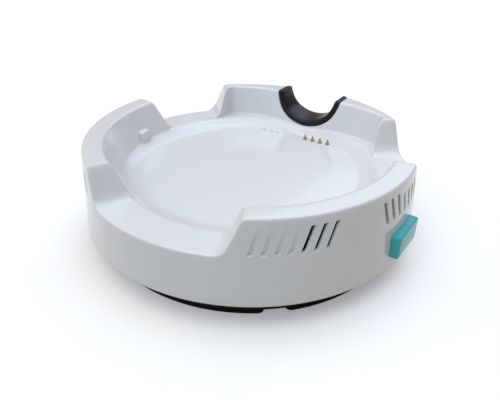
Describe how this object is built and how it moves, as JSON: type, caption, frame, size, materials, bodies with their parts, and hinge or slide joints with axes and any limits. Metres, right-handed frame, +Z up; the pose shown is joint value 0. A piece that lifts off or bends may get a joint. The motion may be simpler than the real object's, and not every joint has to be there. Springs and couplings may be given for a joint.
{
  "type": "floor scrubber docking base",
  "caption": "Round docking base with a shallow tray, raised lugs, a rear neck cradle, sprung charging pins and a side push button.",
  "frame": {"origin": "middle of the whole object at floor level; the round housing stands on an axis 2.9 mm to -X of it, because the button stands proud at +X only", "axes": "+Z up, -Y to the front, +Y to the neck cradle, +X to the push button"},
  "size_m": [0.3042, 0.2984, 0.0924],
  "materials": {
    "white_housing": "polished white ABS",
    "black_cover": "fine texture black ABS",
    "black_cradle": "satin black ABS",
    "foot_rubber": "matt rubber",
    "teal_button": "satin teal ABS",
    "gilt_contact": "gold plated",
    "screw_steel": "zinc plated",
    "black_nylon": "moulded nylon",
    "circuit_board": "solder mask",
    "header_white": "moulded",
    "fin_aluminium": "extruded",
    "copper_winding": "enamelled wire",
    "capacitor_sleeve": "shrunk sleeve",
    "lead_red": "PVC sleeve"
  },
  "bodies": {
    "root": {"back_foot": "foot_rubber", "bottom_cover": "black_cover", "bracket_screw_1": "screw_steel", "bracket_screw_2": "screw_steel", "button_board": "circuit_board", "button_bracket": "black_nylon", "button_header": "header_white", "button_lead": "lead_red", "button_spring": "screw_steel", "button_switch": "black_nylon", "capacitor_1": "capacitor_sleeve", "capacitor_2": "capacitor_sleeve", "charging_coil": "copper_winding", "contact_barrel_1": "gilt_contact", "contact_barrel_2": "gilt_contact", "contact_barrel_3": "gilt_contact", "contact_barrel_4": "gilt_contact", "contact_board": "circuit_board", "contact_board_screw_1": "screw_steel", "contact_board_screw_2": "screw_steel", "contact_board_screw_3": "screw_steel", "contact_header": "header_white", "contact_lead": "lead_red", "contact_spring_1": "screw_steel", "contact_spring_2": "screw_steel", "contact_spring_3": "screw_steel", "contact_spring_4": "screw_steel", "cradle_liner": "black_cradle", "front_foot": "foot_rubber", "heat_sink": "fin_aluminium", "housing_screw_1": "screw_steel", "housing_screw_2": "screw_steel", "housing_screw_3": "screw_steel", "housing_screw_4": "screw_steel", "housing_screw_5": "screw_steel", "inlet_header": "header_white", "inlet_lead": "lead_red", "left_foot": "foot_rubber", "main_board": "circuit_board", "main_board_screw_1": "screw_steel", "main_board_screw_2": "screw_steel", "main_board_screw_3": "screw_steel", "main_board_screw_4": "screw_steel", "plunger_block": "black_nylon", "power_inlet": "black_nylon", "right_foot": "foot_rubber", "socket_blade_1": "gilt_contact", "socket_blade_2": "gilt_contact", "socket_blade_3": "gilt_contact", "socket_blade_4": "gilt_contact", "socket_block": "black_nylon", "tray_dish": "white_housing", "upper_housing": "white_housing"},
    "button": {"push_button": "teal_button"},
    "switch_rod": {"switch_plunger": "header_white"},
    "pin_1": {"contact_plunger_1": "gilt_contact"},
    "pin_2": {"contact_plunger_2": "gilt_contact"},
    "pin_3": {"contact_plunger_3": "gilt_contact"},
    "pin_4": {"contact_plunger_4": "gilt_contact"}
  },
  "joints": [
    {"name": "button_press", "type": "slide", "parent": "root", "child": "button", "axis": [-0.9978, 0.0663, 0], "range_m": [0, 0.004], "stiffness_N_per_m": 400, "springref_m": -0.004, "deforming": ["button_spring"]},
    {"name": "switch_travel", "type": "slide", "parent": "root", "child": "switch_rod", "axis": [-0.9978, 0.0663, 0], "range_m": [0, 0.004]},
    {"name": "pin_1_press", "type": "slide", "parent": "root", "child": "pin_1", "axis": [0, 0, -1], "range_m": [0, 0.0025], "stiffness_N_per_m": 200, "springref_m": -0.002, "deforming": ["contact_spring_1"]},
    {"name": "pin_2_press", "type": "slide", "parent": "root", "child": "pin_2", "axis": [0, 0, -1], "range_m": [0, 0.0025], "stiffness_N_per_m": 200, "springref_m": -0.002, "deforming": ["contact_spring_2"]},
    {"name": "pin_3_press", "type": "slide", "parent": "root", "child": "pin_3", "axis": [0, 0, -1], "range_m": [0, 0.0025], "stiffness_N_per_m": 200, "springref_m": -0.002, "deforming": ["contact_spring_3"]},
    {"name": "pin_4_press", "type": "slide", "parent": "root", "child": "pin_4", "axis": [0, 0, -1], "range_m": [0, 0.0025], "stiffness_N_per_m": 200, "springref_m": -0.002, "deforming": ["contact_spring_4"]}
  ],
  "couplings": [
    {"joint": "switch_travel", "follows": "button_press", "ratio": 1}
  ]
}
